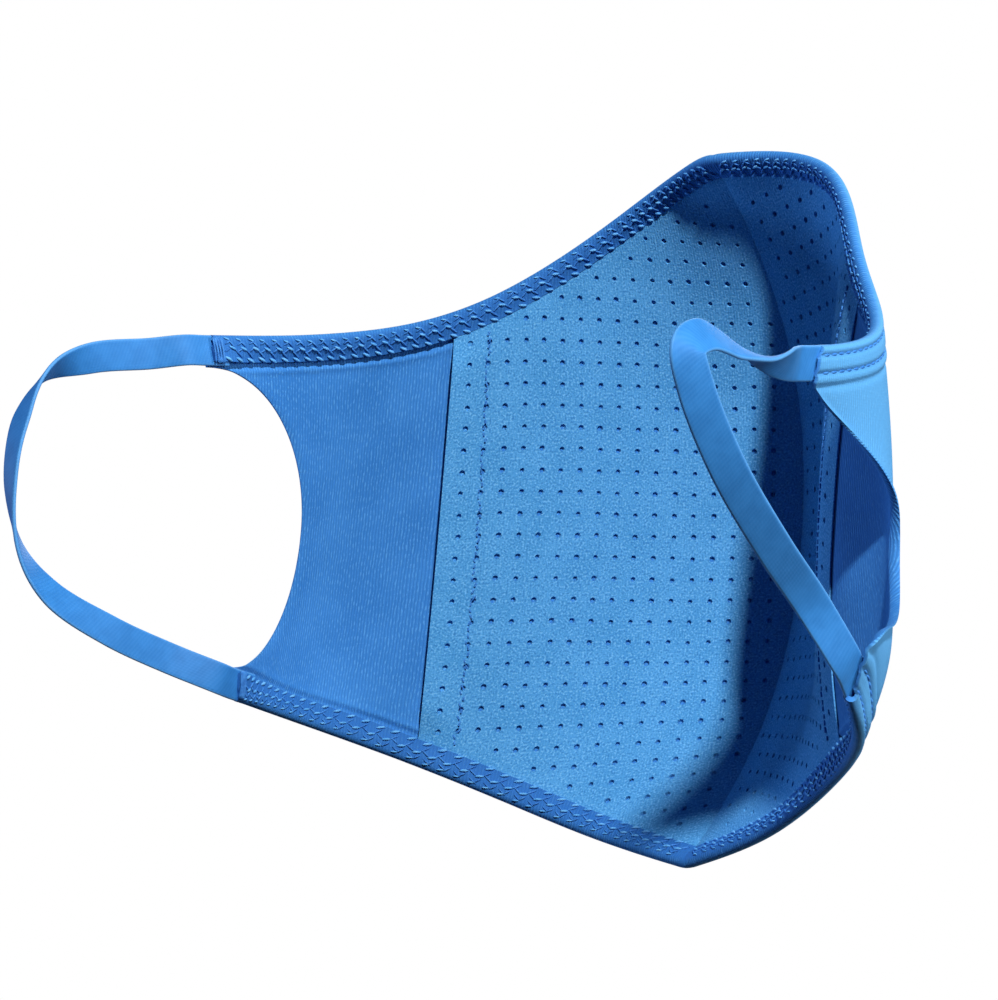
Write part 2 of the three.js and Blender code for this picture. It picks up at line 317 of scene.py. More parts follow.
def tubes(paths, radii, sides=6):
    """Closed tubes along many paths of the same number of points: (paths, points, 3)."""
    count, steps = paths.shape[:2]
    ahead = unit(np.gradient(paths, axis=1))
    helper = np.where(np.abs(ahead[..., 2:]) > 0.9, (1.0, 0.0, 0.0), (0.0, 0.0, 1.0))
    first = unit(np.cross(ahead, helper))
    second = np.cross(ahead, first)
    angle = np.arange(sides) * 2 * math.pi / sides
    ring = (first[:, :, None] * np.cos(angle)[:, None] + second[:, :, None] * np.sin(angle)[:, None])
    radii = np.broadcast_to(radii, (count, steps))
    points = paths[:, :, None] + ring * radii[:, :, None, None]
    tube = np.arange(count)[:, None, None] * steps * sides
    i = np.arange(steps - 1)[None, :, None] * sides
    j = np.arange(sides)[None, None, :]
    k = (j + 1) % sides
    faces = np.stack([tube + i + j, tube + i + k, tube + i + sides + k, tube + i + sides + j], -1)
    points = points.reshape(-1, 3)
    faces = faces.reshape(-1, 4)
    ends = []
    for start, flip in ((0, True), ((steps - 1) * sides, False)):
        rim = (np.arange(count)[:, None] * steps * sides + start + np.arange(sides)[None, :])
        ends.append(rim[:, ::-1] if flip else rim)
    return points, faces, np.concatenate(ends)


def add_mesh(name, points, faces, material, side=1, cloth=None, caps=(), sharp=45, shades=()):
    """A mesh object in the frame from points in millimetres. side -1 mirrors it to the right.

    shades are pairs of a name and a value from 0 to 1 for each point, for the material to read."""
    points = points * (MM * side, MM, MM)
    polygons = [*faces.tolist(), *[list(cap) for cap in caps]]
    if side < 0:
        polygons = [polygon[::-1] for polygon in polygons]
    mesh = bpy.data.meshes.new(name)
    mesh.from_pydata(points.tolist(), [], [tuple(dict.fromkeys(p)) for p in polygons])
    mesh.validate()
    mesh.shade_smooth()
    mesh.set_sharp_from_angle(angle=math.radians(sharp))
    if cloth is not None:
        corners = np.empty(len(mesh.loops), int)
        mesh.loops.foreach_get("vertex_index", corners)
        layer = mesh.uv_layers.new(name="cloth")
        layer.data.foreach_set("uv", (cloth[corners] * MM).ravel())
    for shade, values in shades:
        mesh.attributes.new(shade, "FLOAT", "POINT").data.foreach_set("value", values)
    mesh.materials.append(material)
    piece = bpy.data.objects.new(name, mesh)
    bpy.context.collection.objects.link(piece)
    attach(piece, "root")
    return piece


# ------------------------------------------------------------------ materials
class Shader:
    """A material whose nodes read the cloth's own lengths, in millimetres."""

    def __init__(self, name, roughness, sheen=0.0):
        self.material = bpy.data.materials.new(name)
        self.material.use_nodes = True
        self.tree = self.material.node_tree
        self.surface = self.tree.nodes["Principled BSDF"]
        self.surface.inputs["Roughness"].default_value = roughness
        self.surface.inputs["Sheen Weight"].default_value = sheen
        self.surface.inputs["Sheen Roughness"].default_value = 0.45
        self.surface.inputs["Sheen Tint"].default_value = (0.3, 0.65, 1, 1)
        self.surface.inputs["Specular IOR Level"].default_value = 0.25
        uv = self.node("ShaderNodeUVMap", uv_map="cloth")
        self.cloth = self.vector("MULTIPLY", uv.outputs["UV"], (1000, 1000, 1000))
        parts = self.node("ShaderNodeSeparateXYZ")
        self.tree.links.new(self.cloth, parts.inputs[0])
        self.across, self.along = parts.outputs[0], parts.outputs[1]

    def node(self, kind, **settings):
        made = self.tree.nodes.new(kind)
        for key, value in settings.items():
            setattr(made, key, value)
        return made

    def feed(self, socket, value):
        if isinstance(value, bpy.types.NodeSocket):
            self.tree.links.new(value, socket)
        else:
            socket.default_value = value

    def maths(self, operation, *values):
        made = self.node("ShaderNodeMath", operation=operation)
        for socket, value in zip(made.inputs, values):
            self.feed(socket, value)
        return made.outputs[0]

    def vector(self, operation, *values):
        made = self.node("ShaderNodeVectorMath", operation=operation)
        for socket, value in zip(made.inputs, values):
            self.feed(socket, value)
        return made.outputs[0]

    def noise(self, scale, detail=2.0, stretch=(1, 1, 1)):
        """Noise with scale features a millimetre, from 0 to 1."""
        made = self.node("ShaderNodeTexNoise")
        self.feed(made.inputs["Vector"], self.vector("MULTIPLY", self.cloth, stretch))
        made.inputs["Scale"].default_value = scale
        made.inputs["Detail"].default_value = detail
        return made.outputs[0]

    def ramp(self, value, low, high, start=0.0, end=1.0):
        made = self.node("ShaderNodeMapRange", interpolation_type="SMOOTHSTEP")
        for socket, number in zip(made.inputs, (value, low, high, start, end)):
            self.feed(socket, number)
        return made.outputs[0]

    def stripes(self, value, pitch):
        """Even stripes, 0 to 1, pitch millimetres apart."""
        turn = self.maths("MULTIPLY", value, 2 * math.pi / pitch)
        return self.maths("MULTIPLY_ADD", self.maths("SINE", turn), 0.5, 0.5)

    def mix(self, share, first, second):
        made = self.node("ShaderNodeMix", data_type="RGBA")
        self.feed(made.inputs[0], share)
        self.feed(made.inputs[6], first if isinstance(first, bpy.types.NodeSocket) else (*first, 1))
        self.feed(made.inputs[7], second if isinstance(second, bpy.types.NodeSocket) else (*second, 1))
        return made.outputs[2]

    def finish(self, colour, height=None, relief=0.1):
        """Sets the colour and a bump relief millimetres high."""
        self.tree.links.new(colour, self.surface.inputs["Base Color"])
        if height is not None:
            bump = self.node("ShaderNodeBump")
            bump.inputs["Distance"].default_value = relief * MM
            self.feed(bump.inputs["Height"], height)
            self.tree.links.new(bump.outputs[0], self.surface.inputs["Normal"])
        return self.material


def outer_knit():
    """Fine vertical wales with short lighter flecks."""
    shader = Shader("outer_knit", roughness=0.8, sheen=0.03)
    drift = shader.maths("MULTIPLY_ADD", shader.noise(0.25), 0.6, shader.across)
    wales = shader.stripes(drift, 0.66)
    flecks = shader.ramp(shader.noise(1.0, stretch=(2.2, 1.0, 1)), 0.47, 0.64)
    light = shader.maths("MULTIPLY", flecks, shader.ramp(wales, 0.1, 0.85))
    courses = shader.stripes(shader.along, 0.5)
    patches = shader.ramp(shader.noise(0.09, detail=3), 0.3, 0.7)
    colour = shader.mix(patches, (0.030, 0.196, 0.56), (0.042, 0.232, 0.63))
    colour = shader.mix(shader.maths("MULTIPLY", light, 0.5), colour, (0.115, 0.40, 0.82))
    dark = shader.maths("MULTIPLY", shader.ramp(wales, 0.4, 0.0), 0.4)
    colour = shader.mix(dark, colour, (0.018, 0.115, 0.40))
    painted_shade = shader.node("ShaderNodeAttribute", attribute_name="painted_shade").outputs["Fac"]
    outside = shader.node("ShaderNodeAttribute", attribute_name="outside").outputs["Fac"]
    # The outer face is lighter: partly the knit's own paler outer tone, partly painted light, which also
    # brightens the hems' folds.
    colour = shader.mix(shader.maths("MULTIPLY", outside, 0.5), colour, (0.15, 0.50, 0.84))
    # Painted shade: darker blue on the turned-in cloth inside the hems and along the needle rows' grooves.
    colour = shader.mix(shader.maths("MULTIPLY", painted_shade, 0.6), colour, (0.012, 0.105, 0.38))
    height = shader.maths("MULTIPLY_ADD", courses, 0.12, wales)
    height = shader.maths("MULTIPLY_ADD", light, 0.6, height)
    return shader.finish(colour, height, relief=0.05)


def lining_knit():
    """A pale heather knit with a fine speckle."""
    shader = Shader("lining_knit", roughness=0.85, sheen=0.08)
    speckle = shader.noise(2.4, detail=1)
    patches = shader.ramp(shader.noise(0.12, detail=3), 0.3, 0.7)
    colour = shader.mix(patches, (0.058, 0.285, 0.61), (0.076, 0.325, 0.67))
    colour = shader.mix(shader.ramp(speckle, 0.52, 0.70, 0, 0.8), colour, (0.17, 0.48, 0.82))
    colour = shader.mix(shader.ramp(speckle, 0.48, 0.30, 0, 0.75), colour, (0.030, 0.18, 0.46))
    height = shader.maths("MULTIPLY_ADD", shader.stripes(shader.across, 0.55), 0.3, speckle)
    return shader.finish(colour, height, relief=0.1)


def elastic():
    """Smooth satin tape with faint slanted ribs, and a painted highlight along its edges."""
    shader = Shader("elastic_tape", roughness=0.6, sheen=0.03)
    slanted = shader.maths("MULTIPLY_ADD", shader.across, 0.45, shader.along)
    ribs = shader.stripes(slanted, 0.75)
    cords = shader.stripes(shader.across, 0.5)
    patches = shader.noise(0.3, detail=2)
    colour = shader.mix(shader.ramp(patches, 0.3, 0.7), (0.022, 0.180, 0.51), (0.029, 0.212, 0.58))
    colour = shader.mix(shader.maths("MULTIPLY", ribs, 0.08), colour, (0.12, 0.40, 0.82))
    # Painted highlight: the tape's edges are lightened as if they caught the light.
    edge = shader.ramp(shader.maths("ABSOLUTE", shader.across), STRAP_WIDTH / 2 - 0.5, STRAP_WIDTH / 2)
    colour = shader.mix(shader.maths("MULTIPLY", edge, 0.4), colour, (0.16, 0.44, 0.80))
    height = shader.maths("MULTIPLY_ADD", cords, 0.5, ribs)
    return shader.finish(colour, height, relief=0.01)


def thread(name, dark, light):
    """Sewing thread, lighter in places."""
    shader = Shader(name, roughness=0.6)
    colour = shader.mix(shader.ramp(shader.noise(0.8), 0.35, 0.65), dark, light)
    ply = shader.stripes(shader.maths("ADD", shader.across, shader.along), 0.3)
    return shader.finish(colour, ply, relief=0.03)


MATERIALS = {
    "knit": outer_knit(),
    "lining": lining_knit(),
    "elastic": elastic(),
    "bright thread": thread("bright_thread", (0.08, 0.34, 0.74), (0.15, 0.46, 0.84)),
    "thread": thread("thread", (0.028, 0.165, 0.52), (0.055, 0.25, 0.65)),
}


# ------------------------------------------------------------------ outer knit with its turned edges
# Columns of the knit: how far along its flat part each lies, and then how far round its rolled edge
FLAT_COLUMNS = np.concatenate([np.linspace(0, 1, 121), np.ones(12)])
ROLL_COLUMNS = np.concatenate([np.zeros(121), np.linspace(0, 1, 13)[1:]])
UNROLLED = 0.02  # the least angle, in radians, so that the roll always has a radius


def panel_rows():
    """Rows of the knit from its lower raw edge to its upper one, each a dict.

    side is the edge that width is measured from, and 0 for rows between the hems, which have a
    height instead. width and depth are pairs: for the knit's face and for its back. face is 1 on
    the outside, 0 where the knit is turned in, and in between round the fold."""
    inner = FOLD_RADIUS - KNIT
    turned = []
    for width in np.linspace(HEM_WIDTH, FOLD_RADIUS, 18)[1:-1]:
        turned.append({"width": (width, width), "depth": (0, KNIT), "face": 1})
    for turn in np.radians(np.linspace(0, 180, 9)):
        turned.append({
            "width": tuple(FOLD_RADIUS - r * math.sin(turn) for r in (FOLD_RADIUS, inner)),
            "depth": tuple(FOLD_RADIUS - r * math.cos(turn) for r in (FOLD_RADIUS, inner)),
            "face": (1 + math.cos(turn)) / 2,
        })
    inside = (2 * FOLD_RADIUS, 2 * FOLD_RADIUS - KNIT)
    for width in np.linspace(FOLD_RADIUS, TURN_IN, 9)[1:]:
        turned.append({"width": (width, width), "depth": inside, "face": 0})
    lower = [{"side": -1, **row} for row in reversed(turned)]
    upper = [{"side": 1, **row} for row in turned]
    heights = np.sin(np.linspace(-math.pi / 2, math.pi / 2, 81))
    middle = [{"side": 0, "height": h, "depth": (0, KNIT), "face": 1} for h in heights]
    return lower + middle + upper


def groove(offset, depth, width):
    """A soft groove's depth at some offset from its middle."""
    return depth * np.exp(-((offset / width) ** 2))


def hem_relief(width):
    """How far the knit's outside face stands out near an edge: the doubled cloth puffs up between
    the rows of stitching, which pull it in."""
    puff = HEM_PUFF * smooth(HEM_WIDTH + 0.9, HEM_WIDTH - 0.3, width)
    for row in NEEDLE_ROWS:
        puff = puff - groove(width - row, 0.4, 0.45)
    return puff - groove(width - HEM_WIDTH - 1, 0.22, 0.6)


def hem_pinch(half, side, back, width):
    """How far the stitching presses the turned edge down, clear of the strap's end."""
    from_strap = (1 - back) * HEM_LENGTHS[(half.name, side)]
    return HEM_PINCH * smooth(2, TURN_IN, width) * smooth(STRAP_TUCK, STRAP_TUCK + 5, from_strap)


def seam_relief(half, back, up):
    """The knit dips where the two halves are sewn together."""
    across = half.lookup(half.across_table, back, up)
    return -groove(across, 0.3, 0.7)


def knit_relief(half, back, up):
    """Slow, shallow waves of soft cloth."""
    x, y = np.moveaxis(half.cloth(back, up), -1, 0)
    waves = 0.25 * np.sin(x / 9 + 0.6 * np.sin(y / 17)) * np.sin(y / 21 + 1.3)
    return waves * smooth(0, 0.25, 1 - np.abs(up))


def rolled(half, edge, up, angle, depth):
    """back and depth along a row whose last part, before its edge, rolls outwards by an angle, and
    how far back its cloth would reach if it were flat."""
    scale = float(length(half.backwards(edge, up))[0])
    radius = ROLL_WIDTH / angle
    flat_end = edge - (radius + KNIT) * math.sin(min(angle, math.pi / 2)) / scale
    turn = ROLL_COLUMNS * angle
    back = FLAT_COLUMNS * flat_end + (radius + depth) * np.sin(turn) / scale
    unrolled = FLAT_COLUMNS * flat_end + ROLL_COLUMNS * ROLL_WIDTH / scale
    return back, (radius + depth) * np.cos(turn) - radius, unrolled


def outer_panel(half):
    rows = panel_rows()
    faces_of = []
    cloth = []
    painted_shade = []
    for layer in (0, 1):
        places = []
        for row in rows:
            side, depth = row["side"], row["depth"][layer]
            near_side = side or math.copysign(1, row["height"])
            width = row["width"][layer] if side else HEM_WIDTH
            height = side or row["height"]
            if side:
                corner = smooth(2 * CORNER, 0, width) + 0.5 * (1 - row["face"])
                edge = 1 - CORNER * min(corner, 1) / KNIT_LENGTH
                angle = UNROLLED
            else:
                edge = ear_edge(half.ear_cut, height)
                angle = UNROLLED + math.radians(EDGE_ROLL[half.name]) * smooth(1, 0.6, abs(height))
            edge_up = np.abs(half.from_edge(np.array(edge), near_side, width)) * height
            back, sunk, unrolled = rolled(half, edge, edge_up, angle, depth)
            up = np.abs(half.from_edge(back, near_side, width)) * height
            if row["face"] == 0:
                sunk = sunk - hem_pinch(half, side, back, width)
            from_edge = half.edge_width(back, up)
            sunk = sunk - row["face"] * (hem_relief(from_edge) + seam_relief(half, back, up))
            sunk = sunk - row["face"] * knit_relief(half, back, up)
            places.append(half.below(back, up, sunk))
            if layer == 0:
                along = half.lookup(half.along_table, back, up)
                cloth.append(np.stack([unrolled * KNIT_LENGTH, along], -1))
                rows_here = sum(groove(from_edge - line, 1, 0.5) for line in NEEDLE_ROWS)
                # Painted shade: full on the turned-in cloth, where the stitching shades it, and soft along
                # the needle rows' grooves.
                painted_shade.append(smooth(0.3, 0, row["face"]) + 0.7 * row["face"] * rows_here)
        faces_of.append(np.stack(places, 1).reshape(-1, 3))
    cloth = np.stack(cloth, 1).reshape(-1, 2)
    columns = len(FLAT_COLUMNS)
    face = np.tile([row["face"] for row in rows], columns)
    painted_shade = np.clip(np.stack(painted_shade, 1).ravel(), 0, 1)
    points, faces, source = thickened(*faces_of, grid_faces(columns, len(rows)))
    in_front = np.arange(len(points)) < len(points) / 2
    # outside: partly the outer face's paler tone, partly painted light that reaches round the hems' folds.
    outside = smooth(0.3, 1, face[source]) * in_front
    return add_mesh(f"knit_{half.name}", points, faces, MATERIALS["knit"], half.side, cloth[source],
                    shades=(("painted_shade", painted_shade[source]), ("outside", outside)))


# ------------------------------------------------------------------ perforated lining
def lining_place(half, across, along, guess_back, guess_up):
    """back and up at a distance across from the lining's free edge and along from its middle."""
    back, up = guess_back.copy(), guess_up.copy()
    for _ in range(12):
        line = np.abs(half.from_edge(back, 1, HEM_WIDTH))
        share = np.clip(up / line, -1, 1)
        edge = LINING_BACK["lower"] + (LINING_BACK["upper"] - LINING_BACK["lower"]) * (share + 1) / 2
        reach = half.lookup(half.across_table, edge, up) - half.lookup(half.across_table, back, up)
        back = back + (reach - across) / length(half.backwards(back, up))[..., 0]
        back = np.clip(back, 0, 0.7)
        rise = half.lookup(half.along_table, back, up)
        up = up - (rise - along) / length(half.upwards(back, up))[..., 0]
        top = half.from_edge(back, 1, LINING_TUCK)
        bottom = half.from_edge(back, -1, LINING_TUCK)
        up = np.clip(up, bottom, top)
    return back, up


def lining_depth(half, back, up, across, clear):
    """How deep the lining's outer side lies: it follows the knit's waves, and its free edge lifts where
    the hems leave it clear."""
    follow = LINING_DEPTH - LINING_FOLLOW * knit_relief(half, back, up)
    return follow + groove(across, LINING_LIFT[half.name], 3) * clear


def lining(half):
    """A grid of square cells, four quads a side, whose middle four make room for a hole."""
    cell = 4
    columns, rows = 21, 42
    across = (np.arange(columns * cell + 1) / cell - 0.5) * HOLE_PITCH[0] + FIRST_HOLES
    across[:cell // 2] = np.linspace(0, across[cell // 2], cell // 2, endpoint=False)
    along = (np.arange(rows * cell + 1) / cell - rows / 2) * HOLE_PITCH[1]
    grid_across, grid_along = np.meshgrid(across, along, indexing="ij")
    slope = math.tan(math.radians(LEAN))
    grid_along = grid_along - grid_across * slope
    back, up = lining_place(half, grid_across, grid_along, np.full_like(grid_across, 0.3),
                            grid_along / np.abs(grid_along).max() * 0.9)
    number = np.arange(back.size).reshape(back.shape)
    faces = grid_faces(*back.shape)
    faces = with_area(faces, half.point(back, up).reshape(-1, 3))
    kept = set(map(tuple, np.sort(faces, 1).tolist()))

    # Holes: the middle four quads of a cell give way to eight quads round a circle
    hole_points = []
    hole_faces = []
    gone = set()
    top = half.from_edge(back, 1, HEM_WIDTH + HOLE_CLEARANCE)
    bottom = half.from_edge(back, -1, HEM_WIDTH + HOLE_CLEARANCE)
    free_up = np.minimum(top - up, up - bottom)
    reach = half.lookup(half.across_table, back, up)
    rng = np.random.default_rng(7)
    for i in range(columns):
        for j in range(rows):
            ci, cj = i * cell + cell // 2, j * cell + cell // 2
            middle = [tuple(sorted((number[a, b], number[a + 1, b], number[a + 1, b + 1], number[a, b + 1])))
                      for a in (ci - 1, ci) for b in (cj - 1, cj)]
            whole = all(quad in kept for quad in middle)
            if not whole or free_up[ci, cj] < 0 or reach[ci, cj] < 3:
                continue
            gone.update(middle)
            ring = [number[ci + di, cj + dj] for di, dj in
                    ((-1, -1), (0, -1), (1, -1), (1, 0), (1, 1), (0, 1), (-1, 1), (-1, 0))]
            centre = np.array([grid_across[ci, cj], grid_along[ci, cj]])
            shift = rng.uniform(-HOLE_SHIFT, HOLE_SHIFT, 2)
            first = back.size + len(hole_points)
            stretch = rng.uniform(0.85, 1.12)
            for k in range(8):
                angle = math.radians(-135 + 45 * k)
                spoke = np.array([math.cos(angle), math.sin(angle)]) * HOLE_RADIUS * stretch
                hole_points.append((centre + shift + spoke, centre + shift + spoke * HOLE_FLARE))
            for k in range(8):
                n = (k + 1) % 8
                hole_faces.append((ring[k], ring[n], first + n, first + k))
    faces = np.array([f for f in faces.tolist() if tuple(sorted(f)) not in gone] + hole_faces)
    faces_of = []
    for layer in (0, 1):
        spots = np.array(hole_points)[:, layer]
        rims = lining_place(half, spots[:, 0], spots[:, 1], np.full(len(spots), 0.3),
                            spots[:, 1] / np.abs(grid_along).max() * 0.9)
        every_back = np.concatenate([back.ravel(), rims[0]])
        every_up = np.concatenate([up.ravel(), rims[1]])
        flat_across = np.concatenate([grid_across.ravel(), spots[:, 0]])
        flat_along = np.concatenate([grid_along.ravel(), spots[:, 1]])
        clear = smooth(HEM_WIDTH - 1, HEM_WIDTH + 6, half.edge_width(every_back, every_up))
        depth = lining_depth(half, every_back, every_up, flat_across, clear)
        if layer:
            doubled = smooth(LINING_HEM + 0.6, LINING_HEM - 0.6, flat_across) * clear
            pull = groove(flat_across - LINING_HEM, 0.25, 0.7) * clear
            left = LINING_EDGE[half.name]
            thickness = LINING + 0.35 * doubled - pull
            depth = depth + thickness * (left + (1 - left) * smooth(-2, 14, flat_across))
        faces_of.append(half.below(every_back, every_up, depth))
    points, faces, source = thickened(*faces_of, faces)
    cloth = np.stack([flat_across, flat_along], -1)[source]
    turned_points, turned_faces, turned_cloth = lining_turn(half)
    return add_mesh(f"perforated_lining_{half.name}", np.concatenate([points, turned_points]),
                    np.concatenate([faces, turned_faces + len(points)]), MATERIALS["lining"], half.side,
                    np.concatenate([cloth, turned_cloth]))


def lining_turn(half):
    """The turned-under layer along the lining's free edge, which closes the holes there."""
    across, along = np.meshgrid(np.linspace(0.9, LINING_HEM - 0.5, 6), np.linspace(-52, 52, 60),
                                indexing="ij")
    back, up = lining_place(half, across, along, np.full_like(across, 0.4), along / 70)
    clear = smooth(HEM_WIDTH - 1, HEM_WIDTH + 6, half.edge_width(back, up))
    near = lining_depth(half, back, up, across, clear)
    layers = [half.below(back, up, near + offset).reshape(-1, 3) for offset in (0.04, 0.14)]
    faces = with_area(grid_faces(*back.shape), layers[0])
    points, faces, source = thickened(*layers, faces)
    return points, faces, np.stack([across, along], -1).reshape(-1, 2)[source]


# ------------------------------------------------------------------ stitching
def hem_place(half, side, along, width, height):
    """A place on a hem's inside: along it from the ear end, from its edge, and above its face."""
    back = 1 - along / HEM_LENGTHS[(half.name, side)]
    up = half.from_edge(back, side, width)
    return half.below(back, up, 2 * FOLD_RADIUS + height - hem_pinch(half, side, back, width))


def dashes(half, side, starts, ends, radius, sag=0.0, steps=7):
    """Short lengths of thread on a hem's inside, from starts to ends: (along, width, height)."""
    share = np.linspace(0, 1, steps)[None, :, None]
    run = starts[:, None] * (1 - share) + ends[:, None] * share
    run[..., 2] += sag * np.sin(math.pi * share[..., 0])
    paths = hem_place(half, side, run[..., 0], run[..., 1], run[..., 2])
    swell = np.sqrt(np.maximum(1 - (2 * share[..., 0] - 1) ** 2, 0.06))
    return tubes(paths, radius * swell)


def joined(parts):
    """One mesh from several of points, quads and end caps."""
    points, faces, caps = [], [], []
    count = 0
    for part_points, part_faces, part_caps in parts:
        points.append(part_points)
        faces.append(part_faces + count)
        caps.extend((part_caps + count).tolist())
        count += len(part_points)
    return np.concatenate(points), np.concatenate(faces), caps


def coverstitch(half, side):
    """The looper side of a hem's stitching: rows of dashes with long strokes between them."""
    hem = HEM_LENGTHS[(half.name, side)]
    name = f"{'top' if side > 0 else 'bottom'}_stitching_{half.name}"
    count = int((hem - 4) / STITCH)
    along = 3 + np.arange(count) * STITCH
    rng = np.random.default_rng(3 if side > 0 else 4)
    loose = lambda amount: rng.uniform(-amount, amount, count)

    def row(start, width, reach, drop, height, radius, sag):
        """One stitch's thread: where it starts, how far it runs, and its height, radius and arch."""
        first = np.stack([along + start + loose(0.12), width + loose(0.12), height + loose(0.04)], -1)
        last = first + np.stack([np.full(count, reach), np.full(count, drop), np.zeros(count)], -1)
        return dashes(half, side, first, last, radius, sag)

    bright = [
        row(0.0, 4.4, 1.6, 0.9, 0.06, 0.30, 0.13),
        row(1.2, 2.3, 1.5, 0.7, 0.06, 0.28, 0.11),
        row(0.3, 0.75, 1.2, 0.4, 0.03, 0.20, 0.08),
    ]
    plain = [
        row(2.4, 2.9, 1.6, 1.6, 0.05, 0.2, 0.09),
        row(0.2, 3.4, 1.4, -0.9, 0.06, 0.17, 0.1),
        row(1.3, 1.1, 1.2, 1.2, 0.05, 0.19, 0.1),
        row(0.4, 1.9, 1.3, -0.8, 0.04, 0.16, 0.1),
    ]
    pieces = []
    for suffix, parts, material in (("", bright, "bright thread"), ("_under", plain, "thread")):
        points, faces, caps = joined(parts)
        pieces.append(add_mesh(name + suffix, points, faces, MATERIALS[material], half.side,
                               points[:, 1:], caps, sharp=180))
    return pieces


def needle_rows(half, side):
    """Two rows of straight stitches on a hem's outside."""
    hem = HEM_LENGTHS[(half.name, side)]
    name = f"{'top' if side > 0 else 'bottom'}_topstitch_{half.name}"
    count = int((hem - 2) / STITCH)
    share = np.linspace(0, 1, 6)[None, :]
    parts = []
    for width in NEEDLE_ROWS:
        along = 1.5 + (np.arange(count)[:, None] + share * 0.86) * STITCH
        back = 1 - along / hem
        up = half.from_edge(back, side, width)
        arch = np.sin(math.pi * share)
        depth = -(hem_relief(np.array(width)) + seam_relief(half, back, up)) + 0.1 - 0.2 * arch
        paths = half.below(back, up, depth)
        parts.append(tubes(paths, 0.22 * np.sqrt(np.maximum(1 - (2 * share - 1) ** 2, 0.08))))
    points, faces, caps = joined(parts)
    return add_mesh(name, points, faces, MATERIALS["thread"], half.side, points[:, 1:], caps, sharp=180)


def bar_tacks(half):
    """Dense stitching across each hem where the strap is caught."""
    parts = []
    for side in (1, -1):
        share = np.linspace(0, 1, 9)
        for k in range(7):
            start = 1.0 + 0.3 * k
            lean = 0.3 if k % 2 else -0.3
            width = 0.7 + share * (HEM_WIDTH - 1.2)
            height = 0.05 + 0.22 * np.sin(math.pi * share)
            path = hem_place(half, side, start + lean * share, width, height)
            parts.append(tubes(path[None], 0.2))
    points, faces, caps = joined(parts)
    return add_mesh(f"bar_tacks_{half.name}", points, faces, MATERIALS["thread"], half.side,
                    points[:, 1:], caps, sharp=180)


def lining_stitches(half):
    """Small knots of thread that hold the turned free edge of the lining."""
    rng = np.random.default_rng(11)
    along = np.arange(-60, 62, 1.25)
    across = LINING_HEM + rng.uniform(-0.35, 0.35, len(along))
    parts = []
    share = np.linspace(0, 1, 5)
    for a, b in zip(along, across):
        lean = rng.uniform(-0.5, 0.5)
        run_across = b + lean * share
        run_along = a + 0.8 * share
        back, up = lining_place(half, run_across, run_along, np.full(5, 0.3), run_along / 80)
        if half.edge_width(back, up).min() < HEM_WIDTH + 0.3:
            continue
        depth = LINING_DEPTH + LINING + 0.05 - LINING_FOLLOW * knit_relief(half, back, up)
        path = half.below(back, up, depth)
        parts.append(tubes(path[None], 0.2, sides=5))
    points, faces, caps = joined(parts)
    return add_mesh(f"lining_stitches_{half.name}", points, faces, MATERIALS["thread"], half.side,
                    points[:, 1:], caps, sharp=180)


# ------------------------------------------------------------------ ear loops
def ear_loop(half):
    """The flat strap from between the upper hem's layers round to between the lower hem's."""
    loop = half.loop
    flare = math.radians(loop["flare"])
    square = np.array([math.cos(flare), -math.sin(flare), 0])
    flat = lambda ahead: unit(np.cross(square, ahead))
    one = np.ones(1)

    def end(side):
        up = half.from_edge(one, side, HEM_WIDTH / 2)
        along = unit(half.backwards(one, up))[0]
        across = np.cross(half.outwards(one, up)[0], along)
        place = half.below(one, up, FOLD_RADIUS)[0]
        inside = 1 - STRAP_TUCK / length(half.backwards(one, up))[0]
        tuck = half.below(inside, half.from_edge(inside, side, HEM_WIDTH / 2), FOLD_RADIUS)[0]
        turn = math.degrees(math.atan2(across @ square, across @ flat(along)))
        return tuck, place + along * STRAP_CLEARANCE, place + along * (STRAP_CLEARANCE + STRAP_LEAD), turn

    start, finish = end(1), end(-1)
    way = np.array(loop["way"], float)
    points = np.vstack([*start[:3], way[:, :3], *finish[2::-1]])
    end_turn = (180 if loop["half_twist"] else 0) - finish[3]
    turns = np.array([start[3]] * 3 + list(way[:, 3]) + [end_turn] * 3)
    steps = 261
    share = np.linspace(0, 1, steps)
    path = centripetal(points, share)
    ahead = unit(np.gradient(path, axis=0))
    turn = np.radians(np.interp(share * (len(points) - 1), np.arange(len(points)), turns))
    kernel = np.hanning(13)
    turn = np.convolve(np.pad(turn, 6, mode="edge"), kernel / kernel.sum(), mode="valid")
    across = unit(flat(ahead) * np.cos(turn)[:, None] + square * np.sin(turn)[:, None])
    facing = unit(np.cross(ahead, across))
    run = np.concatenate([[0], np.cumsum(length(np.diff(path, axis=0))[:, 0])])

    # A thin section with round edges, and a slight crown
    half_width, half_thickness = STRAP_WIDTH / 2, STRAP_THICKNESS / 2
    section = []
    for x in np.linspace(-1, 1, 13):
        section.append((x * (half_width - half_thickness), half_thickness * (1 + 0.15 * (1 - x * x))))
    for turn_angle in np.radians([60, 30, 0, -30, -60]):
        section.append((half_width - half_thickness + half_thickness * math.cos(turn_angle),
                        half_thickness * math.sin(turn_angle)))
    top = section
    bottom = [(-x, -y) for x, y in section]
    section = np.array(top + bottom)
    ring = (path[:, None] + across[:, None] * section[None, :, :1] + facing[:, None] * section[None, :, 1:])
    count = len(section)
    faces = grid_faces(steps, count)
    last = np.arange(steps - 1) * count + count - 1
    wrap = np.stack([last, last + count, last + 1, last + 1 - count], -1)
    faces = np.concatenate([faces, wrap])[:, ::-1]
    caps = [list(range(count)), list(range(steps * count - 1, (steps - 1) * count - 1, -1))]
    cloth = np.stack(np.broadcast_arrays(section[None, :, 0], run[:, None]), -1).reshape(-1, 2)
    return add_mesh(f"elastic_{half.name}", ring.reshape(-1, 3), faces, MATERIALS["elastic"], half.side,
                    cloth, caps, sharp=70)


